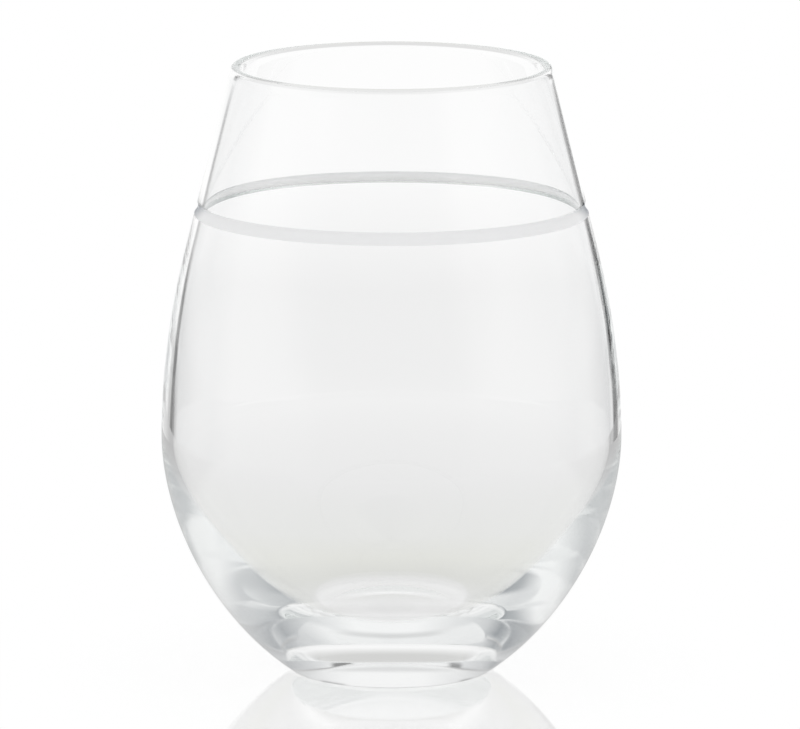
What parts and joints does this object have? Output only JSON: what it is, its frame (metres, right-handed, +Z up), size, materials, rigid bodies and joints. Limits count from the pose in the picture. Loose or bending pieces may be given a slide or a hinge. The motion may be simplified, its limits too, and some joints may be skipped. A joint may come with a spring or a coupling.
{
  "type": "rum glass",
  "caption": "Stemless egg-shaped tumbler of clear glass with a thick base, a rounded rim and one frosted ring cut around the upper wall, for rum and other drinks.",
  "frame": {"origin": "centre of the standing ring, on the table", "axes": "+Z up along the axis of the glass, from the base to the rim; X and Y are alike, because the glass is round"},
  "size_m": [0.09, 0.09, 0.12],
  "materials": {
    "clear_glass": "clear and smooth, fire-polished at the rim",
    "frosted_glass": "matte, finely ground"
  },
  "bodies": {
    "root": {"base": "clear_glass", "bowl": "clear_glass", "frosted_band": "frosted_glass", "collar": "clear_glass", "lip": "clear_glass"}
  },
  "joints": []
}
